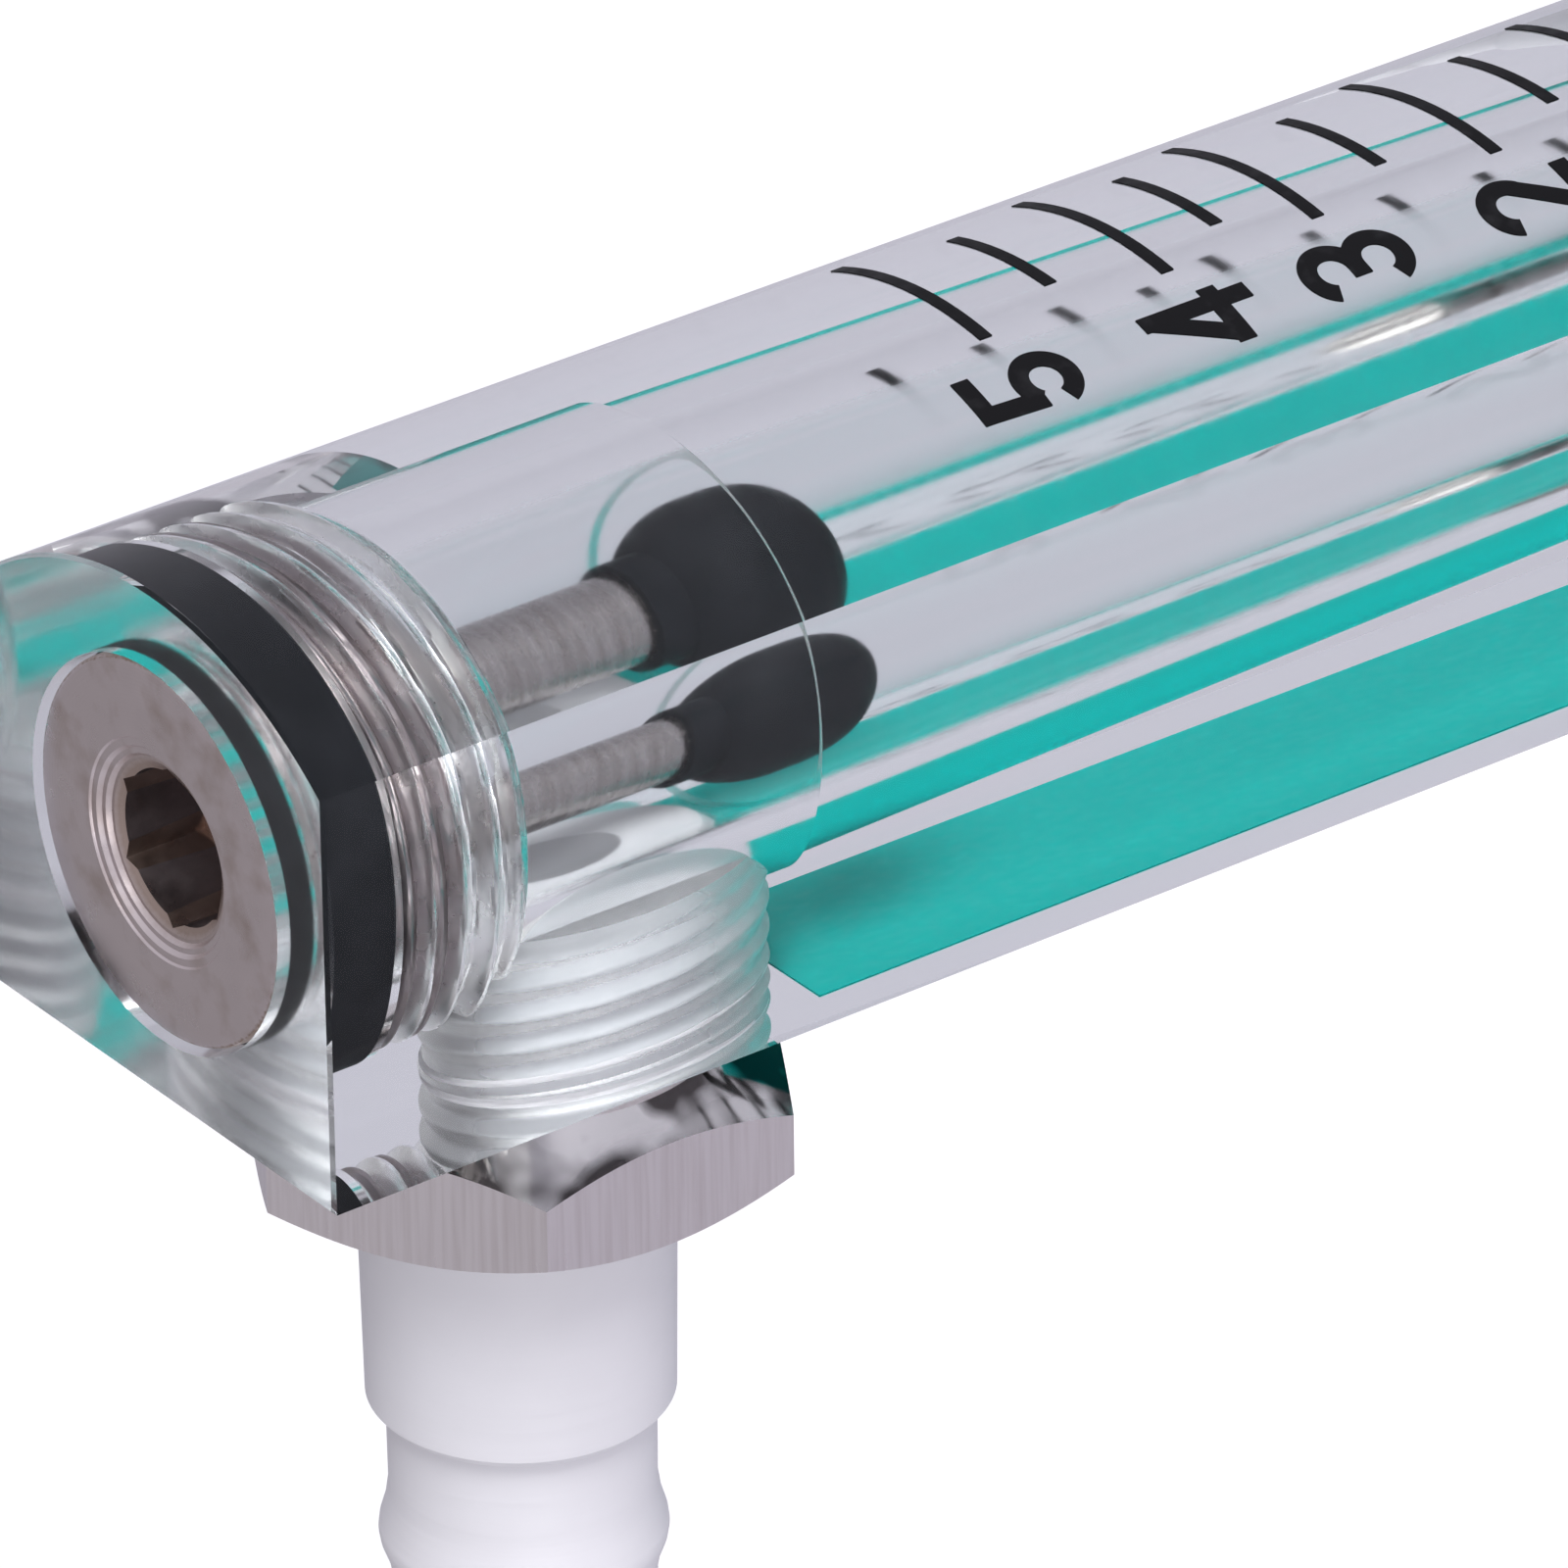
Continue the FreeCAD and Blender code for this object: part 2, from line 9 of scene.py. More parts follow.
import bmesh
import bpy
import numpy as np
from mathutils import Matrix, Vector


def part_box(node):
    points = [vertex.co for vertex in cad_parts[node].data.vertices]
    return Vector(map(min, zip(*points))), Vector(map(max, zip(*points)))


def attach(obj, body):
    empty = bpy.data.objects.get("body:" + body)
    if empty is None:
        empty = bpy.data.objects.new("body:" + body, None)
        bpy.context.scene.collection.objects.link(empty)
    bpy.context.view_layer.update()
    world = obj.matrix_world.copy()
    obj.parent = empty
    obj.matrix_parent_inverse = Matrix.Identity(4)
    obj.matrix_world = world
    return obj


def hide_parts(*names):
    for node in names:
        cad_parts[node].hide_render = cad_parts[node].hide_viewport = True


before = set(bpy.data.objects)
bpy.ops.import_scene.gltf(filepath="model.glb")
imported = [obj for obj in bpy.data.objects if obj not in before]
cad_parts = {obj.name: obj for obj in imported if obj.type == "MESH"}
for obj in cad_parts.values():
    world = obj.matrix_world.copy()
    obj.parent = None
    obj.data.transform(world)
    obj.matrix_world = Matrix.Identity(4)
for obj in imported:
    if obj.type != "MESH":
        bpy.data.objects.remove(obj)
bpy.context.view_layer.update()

MM = 0.001
RINGS = 192

# ---------------------------------------------------------------- sizes shared with the CAD model

HALF_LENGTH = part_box("body")[1].z / MM
HALF_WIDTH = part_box("body")[1].x / MM
BODY_DEPTH = -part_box("body")[0].y / MM
SIDE_DEPTH = 24.0
FRONT_RISE = BODY_DEPTH - SIDE_DEPTH
FRONT_RADIUS = (HALF_WIDTH ** 2 + FRONT_RISE ** 2) / (2 * FRONT_RISE)
FRONT_AXIS = Vector((0, FRONT_RADIUS - BODY_DEPTH, 0))
BORE_DEPTH = 14.2
PORT_HEIGHT = HALF_LENGTH - 22.0
EDGE_BREAK = 0.2

PLUG_PITCH = 1.95
PORT_PITCH = 1.814
MINOR_RADIUS = 9.32
MAJOR_RADIUS = 10.42
THREAD_GAP = 0.07
SEAT_RADIUS = 10.75
SEAT_DEPTH = 6.3
THREAD_RUN_IN = 0.1
CHAMBER_THREAD_END = 14.5
CHAMBER_RADIUS = 9.0
CHAMBER_DEPTH = 33.5
CHAMBER_RUN_OUT = 0.2
SHOULDER_LENGTH = 0.25
TUBE_OUTLET_RADIUS = 8.5
TUBE_INLET_RADIUS = 6.5
PORT_DEPTH = 8.8
PORT_ROOT_RADIUS = 10.15
PORT_RUN_IN = 0.4
CUTTER_EXTRA = 1.0
FRONT_STEPS = 160

BORE = Matrix.Translation((0, -BORE_DEPTH, 0))
PORTS = {"outlet": Matrix.Translation((0, 0, PORT_HEIGHT)) @ Matrix.Rotation(-math.pi / 2, 4, "X"),
         "inlet": Matrix.Translation((0, 0, -PORT_HEIGHT)) @ Matrix.Rotation(-math.pi / 2, 4, "X")}
ENDS = {"outlet": BORE @ Matrix.Translation((0, 0, HALF_LENGTH)),
        "inlet": BORE @ Matrix.Translation((0, 0, -HALF_LENGTH)) @ Matrix.Rotation(math.pi, 4, "Y")}


# ---------------------------------------------------------------- mesh tools

def mesh_object(name, points, faces, place=Matrix.Identity(4), smooth=32.0):
    """A piece from points in millimetres, shaded smooth over edges flatter than an angle."""
    mesh = bpy.data.meshes.new(name)
    mesh.from_pydata([tuple(place @ Vector(point) * MM) for point in points], [], faces)
    tidy = bmesh.new()
    tidy.from_mesh(mesh)
    bmesh.ops.remove_doubles(tidy, verts=tidy.verts, dist=1e-7)
    bmesh.ops.recalc_face_normals(tidy, faces=tidy.faces)
    tidy.to_mesh(mesh)
    tidy.free()
    mesh.shade_smooth()
    mesh.set_sharp_from_angle(angle=math.radians(smooth))
    piece = bpy.data.objects.new(name, mesh)
    bpy.context.scene.collection.objects.link(piece)
    return piece


def thread_share(phase):
    """Height of a thread's flanks over its root, from 0 to 1, with the crest and root flattened."""
    triangle = np.abs(2 * (phase % 1.0) - 1)
    return np.clip(1.35 * triangle - 0.175, 0, 1)


def turned(name, rows, place=Matrix.Identity(4), loop=False, pitch=PORT_PITCH, smooth=32.0):
    """A mesh turned about its own Z axis. Each row is a height, a radius and the depth of a
    helical thread that stands on that radius. A loop closes on itself; any other outline is
    capped at both ends."""
    turns = np.arange(RINGS) / RINGS
    grid = []
    for height, radius, depth in rows:
        reach = radius + depth * thread_share(height / pitch - turns)
        grid.append(np.stack([reach * np.cos(2 * np.pi * turns),
                              reach * np.sin(2 * np.pi * turns),
                              np.full(RINGS, height)], axis=1))
    points = np.concatenate(grid)
    count = len(rows)
    faces = []
    for low in range(count if loop else count - 1):
        high = (low + 1) % count
        for step in range(RINGS):
            after = (step + 1) % RINGS
            faces.append((low * RINGS + step, low * RINGS + after,
                          high * RINGS + after, high * RINGS + step))
    if not loop:
        faces.append(tuple(reversed(range(RINGS))))
        faces.append(tuple(range((count - 1) * RINGS, count * RINGS)))
    return mesh_object(name, points, faces, place, smooth)


def thread_rows(start, stop, root, depth, pitch=PORT_PITCH, per_turn=14):
    """Rows of a thread from one height to another, which runs in and out over half a turn."""
    count = max(2, math.ceil(abs(stop - start) / pitch * per_turn))
    rows = []
    for step in range(count + 1):
        height = start + (stop - start) * step / count
        ramp = min(1.0, min(abs(height - start), abs(stop - height)) / (pitch / 2))
        rows.append((height, root, depth * ramp))
    return rows


def bake(piece):
    """Make a piece's modifiers part of its mesh."""
    bpy.context.view_layer.update()
    shape = piece.evaluated_get(bpy.context.evaluated_depsgraph_get())
    piece.data = bpy.data.meshes.new_from_object(shape)
    piece.modifiers.clear()


def boolean(piece, cutter, operation):
    """Join, cut or trim a piece with another one, which is then gone."""
    rule = piece.modifiers.new(operation, "BOOLEAN")
    rule.operation = operation
    rule.solver = "EXACT"
    rule.object = cutter
    rule.material_mode = "TRANSFER"
    bake(piece)
    bpy.data.objects.remove(cutter)


def reshade(piece, smooth=32.0):
    piece.data.shade_smooth()
    piece.data.set_sharp_from_angle(angle=math.radians(smooth))


def prism(name, outline, low, high, place=Matrix.Identity(4)):
    """A mesh with the outline's corners at two heights."""
    count = len(outline)
    points = [(x, y, low) for x, y in outline] + [(x, y, high) for x, y in outline]
    faces = [tuple(reversed(range(count))), tuple(range(count, 2 * count))]
    faces += [(step, (step + 1) % count, count + (step + 1) % count, count + step)
              for step in range(count)]
    return mesh_object(name, points, faces, place)


def hexagon(flats):
    """Corners of a hexagon of that width across flats, with two flats along Y."""
    reach = flats / 2 / math.cos(math.pi / 6)
    turns = [math.radians(30 + 60 * corner) for corner in range(6)]
    return [(reach * math.cos(turn), reach * math.sin(turn)) for turn in turns]


# ---------------------------------------------------------------- materials

def node(tree, kind, **values):
    made = tree.nodes.new(kind)
    for name, value in values.items():
        setattr(made, name, value)
    return made


class Finish:
    """A Principled material in the making, with patterns laid out in the row frame."""

    def __init__(self, name, color, roughness, metallic=0.0):
        self.material = bpy.data.materials.new(name)
        self.material.use_nodes = True
        self.tree = self.material.node_tree
        self.shader = self.tree.nodes["Principled BSDF"]
        self.set("Base Color", (*color, 1))
        self.set("Roughness", roughness)
        self.set("Metallic", metallic)
        self.place = node(self.tree, "ShaderNodeTexCoord").outputs["Object"]

    def set(self, socket, value):
        self.shader.inputs[socket].default_value = value

    def link(self, source, target):
        self.tree.links.new(source, target)

    def noise(self, scale, detail=3.0, stretch=(1, 1, 1)):
        """Noise with that many features a metre, stretched along the axes."""
        moved = node(self.tree, "ShaderNodeMapping")
        moved.inputs["Scale"].default_value = stretch
        self.link(self.place, moved.inputs["Vector"])
        made = node(self.tree, "ShaderNodeTexNoise")
        made.inputs["Scale"].default_value = scale
        made.inputs["Detail"].default_value = detail
        self.link(moved.outputs["Vector"], made.inputs["Vector"])
        return made.outputs["Fac"]

    def radius(self, axis_y):
        """Distance in metres from the line along Z through x = 0 and y = axis_y."""
        parts = node(self.tree, "ShaderNodeSeparateXYZ")
        self.link(self.place, parts.inputs[0])
        flat = node(self.tree, "ShaderNodeCombineXYZ")
        self.link(parts.outputs["X"], flat.inputs["X"])
        self.link(self.math("SUBTRACT", parts.outputs["Y"], axis_y), flat.inputs["Y"])
        length = node(self.tree, "ShaderNodeVectorMath", operation="LENGTH")
        self.link(flat.outputs[0], length.inputs[0])
        return length.outputs["Value"]

    def math(self, operation, first, second):
        made = node(self.tree, "ShaderNodeMath", operation=operation)
        for socket, value in ((made.inputs[0], first), (made.inputs[1], second)):
            if isinstance(value, (int, float)):
                socket.default_value = value
            else:
                self.link(value, socket)
        return made.outputs[0]

    def spread(self, source, low, high, to_low=0.0, to_high=1.0):
        made = node(self.tree, "ShaderNodeMapRange")
        for socket, value in (("From Min", low), ("From Max", high),
                              ("To Min", to_low), ("To Max", to_high)):
            made.inputs[socket].default_value = value
        self.link(source, made.inputs["Value"])
        return made.outputs["Result"]

    def tint(self, share, first, second):
        """Base colour between two, by a share."""
        made = node(self.tree, "ShaderNodeMix", data_type="RGBA")
        made.inputs[6].default_value = (*first, 1)
        made.inputs[7].default_value = (*second, 1)
        self.link(share, made.inputs[0])
        self.link(made.outputs[2], self.shader.inputs["Base Color"])

    def rings(self, radius, wobble, per_metre):
        """Sine of a distance, for turning marks that wander a little."""
        moved = self.math("ADD", radius, self.math("MULTIPLY", self.noise(120, 2), wobble))
        return self.math("SINE", self.math("MULTIPLY", moved, per_metre * 2 * math.pi), 0)

    def rough(self, share, low, high):
        self.link(self.spread(share, 0.25, 0.75, low, high), self.shader.inputs["Roughness"])

    def bump(self, height, distance, strength=1.0):
        made = node(self.tree, "ShaderNodeBump")
        made.inputs["Distance"].default_value = distance * MM
        made.inputs["Strength"].default_value = strength
        self.link(height, made.inputs["Height"])
        self.link(made.outputs["Normal"], self.shader.inputs["Normal"])

    def clear(self):
        """Clear acrylic, which lets the lamps' light through to what lies inside it."""
        self.set("Transmission Weight", 1.0)
        self.set("IOR", ACRYLIC_IOR)
        self.set("Specular Tint", (0.2, 0.2, 0.2, 1))
        path = node(self.tree, "ShaderNodeLightPath")
        through = node(self.tree, "ShaderNodeBsdfTransparent")
        through.inputs["Color"].default_value = (0.9, 0.92, 0.93, 1)
        mix = node(self.tree, "ShaderNodeMixShader")
        self.link(path.outputs["Is Shadow Ray"], mix.inputs[0])
        self.link(self.shader.outputs[0], mix.inputs[1])
        self.link(through.outputs[0], mix.inputs[2])
        self.link(mix.outputs[0], self.tree.nodes["Material Output"].inputs["Surface"])


ACRYLIC_IOR = 1.53
ACRYLIC_COLOR = (0.965, 0.988, 0.985)


def make_polished():
    """Polished faces, with a slow waviness and hairline scratches along them."""
    finish = Finish("acrylic", ACRYLIC_COLOR, 0.0)
    finish.clear()
    scratches = finish.noise(1400, 2, (1, 1, 0.03))
    finish.link(finish.spread(scratches, 0.68, 0.74, 0.0, 0.05), finish.shader.inputs["Roughness"])
    finish.bump(finish.noise(60, 1), 0.01, 0.15)
    return finish.material


def make_sawn():
    """End faces, left from the saw and only rubbed smooth."""
    finish = Finish("acrylic_sawn", ACRYLIC_COLOR, 0.15)
    finish.clear()
    finish.rough(finish.noise(250, 3, (1, 5, 1)), 0.12, 0.18)
    finish.bump(finish.noise(900, 2, (0.2, 1, 1)), 0.01, 0.15)
    return finish.material


def make_machined():
    """Walls left by the boring bar: a little hazy, with faint rings."""
    finish = Finish("acrylic_machined", ACRYLIC_COLOR, 0.1)
    finish.clear()
    finish.rough(finish.noise(300, 3, (1, 1, 4)), 0.07, 0.14)
    finish.bump(finish.noise(900, 2, (0.05, 0.05, 1)), 0.02, 0.12)
    return finish.material


def make_threaded():
    """The plug's tapped threads, dulled by the tap."""
    finish = Finish("acrylic_threaded", ACRYLIC_COLOR, 0.3)
    finish.clear()
    finish.rough(finish.noise(700, 3), 0.24, 0.34)
    finish.bump(finish.noise(2500, 2), 0.01, 0.2)
    return finish.material


def make_frosted():
    """The ports' threads and the shoulder in the bore, frosted by the tool."""
    finish = Finish("acrylic_frosted", (0.74, 0.765, 0.765), 0.55)
    finish.clear()
    finish.rough(finish.noise(500, 3), 0.55, 0.70)
    finish.bump(finish.noise(1800, 3), 0.01, 0.3)
    return finish.material


def make_plug_nickel():
    """Worn plating over brass: faced in fine rings, browned at the rim, and darkened in the hexagon
    socket by painted shade.
    """
    plate, brass = (0.65, 0.58, 0.585), (0.33, 0.235, 0.175)
    finish = Finish("plug_nickel", plate, 0.3, 1.0)
    radius = finish.radius(-BORE_DEPTH * MM)
    speckle = finish.noise(3500, 4)
    rings = finish.math("MULTIPLY", finish.rings(radius, 0.0002, 4200), 0.25)
    finish.rough(finish.noise(600, 4), 0.24, 0.38)
    finish.bump(finish.math("ADD", rings, speckle), 0.012, 0.35)
    wear_and_shade_radius = finish.math("ADD", radius, finish.math("MULTIPLY", speckle, 0.0004))
    rim = finish.spread(wear_and_shade_radius, 0.01046, 0.01064)
    # Painted shade: the hexagon socket is tinted towards dark brass to shade its recess.
    socket = finish.spread(wear_and_shade_radius, 0.0055, 0.0047, 0.0, 0.75)
    blotches = finish.spread(finish.noise(420, 6), 0.5, 0.8, 0.0, 0.55)
    # Brass shows through at the worn rim and in blotches. In the socket the same tint is painted
    # shade.
    finish.tint(finish.math("MAXIMUM", blotches, finish.math("MAXIMUM", rim, socket)), plate, brass)
    return finish.material


def make_thread_nickel():
    """The plug's thread and groove, dull and a little greasy."""
    finish = Finish("thread_nickel", (0.34, 0.30, 0.31), 0.3, 1.0)
    finish.rough(finish.noise(600, 4), 0.25, 0.45)
    finish.bump(finish.noise(2600, 3), 0.01, 0.3)
    finish.tint(finish.spread(finish.noise(300, 4), 0.35, 0.7),
                (0.36, 0.32, 0.33), (0.24, 0.20, 0.20))
    return finish.material


def make_nut_nickel():
    """Plated nut: drawn bar flats, brushed along the nut's axis."""
    finish = Finish("nut_nickel", (0.64, 0.60, 0.61), 0.3, 1.0)
    finish.rough(finish.noise(2600, 3, (1, 0.05, 1)), 0.26, 0.38)
    finish.bump(finish.noise(4200, 3, (1, 0.04, 1)), 0.003, 0.3)
    streaks = finish.noise(3200, 4, (1, 0.04, 1))
    finish.tint(finish.spread(streaks, 0.4, 0.8), (0.66, 0.615, 0.625), (0.57, 0.52, 0.525))
    return finish.material


def make_mirror_nickel():
    """The nut's turned cones, bright from the tool, with dark patches in their colour as painted
    reflections.
    """
    finish = Finish("mirror_nickel", (0.72, 0.69, 0.68), 0.06, 1.0)
    finish.rough(finish.noise(500, 3), 0.04, 0.10)
    finish.bump(finish.noise(260, 2), 0.03, 0.35)
    # Painted reflection: large dark and bright blotches in the base colour stand in for the
    # surroundings that the polished cone mirrors.
    finish.tint(finish.spread(finish.noise(190, 2), 0.46, 0.58),
                (0.80, 0.77, 0.76), (0.09, 0.08, 0.08))
    return finish.material


def make_steel():
    """Turned steel with a fine feed mark."""
    finish = Finish("turned_steel", (0.36, 0.33, 0.325), 0.3, 1.0)
    finish.rough(finish.noise(3000, 3, (0.3, 0.3, 1)), 0.2, 0.34)
    finish.bump(finish.noise(4000, 2, (0.08, 0.08, 1)), 0.002, 0.4)
    finish.tint(finish.spread(finish.noise(2600, 3, (0.08, 0.08, 1)), 0.35, 0.75),
                (0.38, 0.35, 0.345), (0.27, 0.24, 0.23))
    return finish.material


def make_rubber():
    """Moulded rubber, a little uneven and greyer in places."""
    finish = Finish("black_rubber", (0.008, 0.009, 0.011), 0.55)
    finish.set("Specular IOR Level", 0.04)
    finish.rough(finish.noise(500, 4), 0.5, 0.7)
    finish.bump(finish.noise(350, 2), 0.01, 0.12)
    finish.tint(finish.spread(finish.noise(260, 4), 0.4, 0.75),
                (0.007, 0.008, 0.010), (0.013, 0.014, 0.017))
    return finish.material


def make_white_plastic():
    """Satin moulding with faint marks round it from the thread chaser."""
    finish = Finish("white_plastic", (0.69, 0.68, 0.71), 0.5)
    finish.rough(finish.noise(400, 3), 0.38, 0.55)
    finish.bump(finish.noise(1100, 2, (0.06, 1, 0.06)), 0.07, 0.6)
    finish.tint(finish.spread(finish.noise(140, 3), 0.3, 0.75),
                (0.70, 0.69, 0.72), (0.67, 0.66, 0.69))
    return finish.material


def make_ink(name, color, thin):
    """Screen-printed ink, a little thinner in places."""
    finish = Finish(name, color, 0.45)
    finish.set("Specular IOR Level", 0.05)
    finish.rough(finish.noise(900, 3), 0.35, 0.55)
    finish.bump(finish.noise(3000, 3), 0.004, 0.3)
    finish.tint(finish.spread(finish.noise(700, 5), 0.55, 0.8), color, thin)
    return finish.material


polished = make_polished()
sawn = make_sawn()
machined = make_machined()
threaded = make_threaded()
frosted = make_frosted()
plug_nickel = make_plug_nickel()
thread_nickel = make_thread_nickel()
nut_nickel = make_nut_nickel()
mirror_nickel = make_mirror_nickel()
steel = make_steel()
rubber = make_rubber()
white = make_white_plastic()
black_ink = make_ink("black_ink", (0.008, 0.008, 0.009), (0.02, 0.02, 0.022))
green_ink = make_ink("green_ink", (0.0, 0.40, 0.365), (0.0, 0.44, 0.405))


# ---------------------------------------------------------------- acrylic block

def bore_rows():
    """The bore's outline from the inlet end up: seat, thread and chamber, tube, and the same."""
    root = MINOR_RADIUS + THREAD_GAP
    thread_start = HALF_LENGTH - SEAT_DEPTH - THREAD_RUN_IN
    thread_end = HALF_LENGTH - CHAMBER_THREAD_END
    top = [(HALF_LENGTH + CUTTER_EXTRA, SEAT_RADIUS, 0),
           (HALF_LENGTH - SEAT_DEPTH, SEAT_RADIUS, 0),
           (HALF_LENGTH - SEAT_DEPTH, root, 0)]
    top += thread_rows(thread_start, thread_end, root, MAJOR_RADIUS - MINOR_RADIUS, PLUG_PITCH)
    top += [(HALF_LENGTH - CHAMBER_THREAD_END - CHAMBER_RUN_OUT, CHAMBER_RADIUS, 0),
            (HALF_LENGTH - CHAMBER_DEPTH + SHOULDER_LENGTH, CHAMBER_RADIUS, 0)]
    bottom = [(-height, radius, depth) for height, radius, depth in top]
    tube = [(CHAMBER_DEPTH - HALF_LENGTH, TUBE_INLET_RADIUS, 0),
            (HALF_LENGTH - CHAMBER_DEPTH, TUBE_OUTLET_RADIUS, 0)]
    return bottom + tube + list(reversed(top))


def port_rows():
    """The port's outline from its blind end out, with the thread's crests cut off."""
    mouth = MAJOR_RADIUS + THREAD_GAP
    rows = [(-PORT_DEPTH, 0.4, 0), (-PORT_DEPTH, PORT_ROOT_RADIUS, 0)]
    rows += thread_rows(-PORT_DEPTH + PORT_RUN_IN, -PORT_RUN_IN,
                        PORT_ROOT_RADIUS, mouth - PORT_ROOT_RADIUS)
    rows += [(0, mouth, 0), (CUTTER_EXTRA, mouth, 0)]
    return rows


def section(inset):
    """Corners of the block's D-shaped section, moved inwards, with the front in small steps."""
    radius, side = FRONT_RADIUS - inset, HALF_WIDTH - inset
    half_angle = math.asin(side / radius)
    corners = [(side, -inset), (-side, -inset)]
    for step in range(FRONT_STEPS + 1):
        angle = -half_angle + 2 * half_angle * step / FRONT_STEPS
        corners.append((radius * math.sin(angle), FRONT_AXIS.y - radius * math.cos(angle)))
    return corners


def break_edges(piece, width, angle=25.0):
    """Small bevels along every edge sharper than an angle."""
    rule = piece.modifiers.new("edges", "BEVEL")
    rule.width = width * MM
    rule.segments = 2
    rule.limit_method = "ANGLE"
    rule.angle_limit = math.radians(angle)
    bake(piece)


def make_blank():
    """The block before it is bored: polished all round, sawn and bevelled at both ends."""
    outer, inner = section(0), section(EDGE_BREAK)
    count = len(outer)
    levels = [(inner, -HALF_LENGTH), (outer, EDGE_BREAK - HALF_LENGTH),
              (outer, HALF_LENGTH - EDGE_BREAK), (inner, HALF_LENGTH)]
    points = [(x, y, height) for corners, height in levels for x, y in corners]
    faces = [tuple(range(count)), tuple(range(3 * count, 4 * count))]
    for level in range(3):
        low, high = level * count, (level + 1) * count
        for step in range(count):
            after = (step + 1) % count
            faces.append((low + step, low + after, high + after, high + step))
    blank = mesh_object("acrylic_body", points, faces)
    blank.data.materials.append(polished)
    blank.data.materials.append(sawn)
    for face in blank.data.polygons:
        face.material_index = int(abs(face.center.z) > (HALF_LENGTH - EDGE_BREAK / 4) * MM)
    return blank


def make_body():
    body = make_blank()
    bore = turned("bore_cutter", bore_rows(), BORE, pitch=PLUG_PITCH)
    bore.data.materials.append(machined)
    bore.data.materials.append(threaded)
    bore.data.materials.append(frosted)
    for face in bore.data.polygons:
        depth = HALF_LENGTH - abs(face.center.z) / MM
        if SEAT_DEPTH < depth < CHAMBER_THREAD_END:
            face.material_index = 1
        elif abs(depth - CHAMBER_DEPTH) < SHOULDER_LENGTH:
            face.material_index = 2
    boolean(body, bore, "DIFFERENCE")
    for end, place in PORTS.items():
        port = turned(f"{end}_port_cutter", port_rows(), place)
        port.data.materials.append(frosted)
        boolean(body, port, "DIFFERENCE")
    reshade(body)
    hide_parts("body")
    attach(body, "meter")


make_body()


# ---------------------------------------------------------------- prints

INK_DEPTH = 0.08


def print_ink(node_name, ink, round_front):
    """The print itself, and a copy of it sunk just under the surface, which is the side of the
    ink that is seen through the acrylic."""
    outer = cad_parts[node_name]
    outer.data.materials.clear()
    outer.data.materials.append(ink)
    mesh = outer.data.copy()
    for vertex in mesh.vertices:
        out = Vector((0, 1, 0))
        if round_front:
            out = Vector((vertex.co.x, vertex.co.y - FRONT_AXIS.y * MM, 0)).normalized()
        vertex.co -= out * INK_DEPTH * MM
    under = bpy.data.objects.new(node_name + "_underside", mesh)
    bpy.context.scene.collection.objects.link(under)
    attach(under, "meter")


print_ink("scale_ticks", black_ink, True)
print_ink("scale_digits", black_ink, True)
print_ink("back_band", green_ink, False)


# ---------------------------------------------------------------- plugs

PLUG_FACE = -0.3
RIM_RADIUS = 10.5
RIM_FOOT = PLUG_FACE - 1.4
GROOVE_RADIUS = 7.8
GROOVE_FOOT = RIM_FOOT - 4.4
PLUG_FOOT = -11.2
ROD_HOLE_RADIUS = 3.01
SOCKET_FLATS = 8.0
SOCKET_DEPTH = 5.6
SEAL_PLAY = 0.05
SEAL_EDGE = 0.4
SEAL_SQUEEZE = 0.02


def make_plug(end):
    """The plug: thread, seal groove, rim and a stepped mouth round its hexagon socket."""
    place = ENDS[end]
    rows = [(PLUG_FOOT, ROD_HOLE_RADIUS, 0), (PLUG_FOOT, MINOR_RADIUS - 0.3, 0),
            (PLUG_FOOT + 0.3, MINOR_RADIUS, 0)]
    rows += thread_rows(PLUG_FOOT + 0.35, GROOVE_FOOT - 0.1, MINOR_RADIUS,
                        MAJOR_RADIUS - MINOR_RADIUS, PLUG_PITCH)
    rows += [(GROOVE_FOOT, MINOR_RADIUS - 0.2, 0), (GROOVE_FOOT, GROOVE_RADIUS, 0),
             (RIM_FOOT, GROOVE_RADIUS, 0),
             (RIM_FOOT, RIM_RADIUS - 0.2, 0), (RIM_FOOT + 0.2, RIM_RADIUS, 0),
             (PLUG_FACE - 0.35, RIM_RADIUS, 0), (PLUG_FACE - 0.1, RIM_RADIUS - 0.1, 0),
             (PLUG_FACE, RIM_RADIUS - 0.35, 0)]
    for depth, radius in ((0, 6.2), (0.12, 6.1), (0.12, 5.7), (0.35, 5.5), (0.35, 5.2),
                          (0.6, 5.0), (0.6, 4.8), (0.9, 4.25), (6.4, 4.15),
                          (6.9, ROD_HOLE_RADIUS)):
        rows.append((PLUG_FACE - depth, radius, 0))
    plug = turned(f"{end}_plug_turned", rows, place, loop=True, pitch=PLUG_PITCH)
    plug.data.materials.append(plug_nickel)
    plug.data.materials.append(thread_nickel)
    for face in plug.data.polygons:
        depth = HALF_LENGTH - abs(face.center.z) / MM
        face.material_index = int(depth > -RIM_FOOT)
    socket = prism("socket_cutter", hexagon(SOCKET_FLATS),
                   PLUG_FACE - SOCKET_DEPTH, PLUG_FACE + CUTTER_EXTRA, place)
    socket.data.materials.append(plug_nickel)
    boolean(plug, socket, "DIFFERENCE")
    reshade(plug, 24)
    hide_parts(f"{end}_plug")
    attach(plug, "meter")


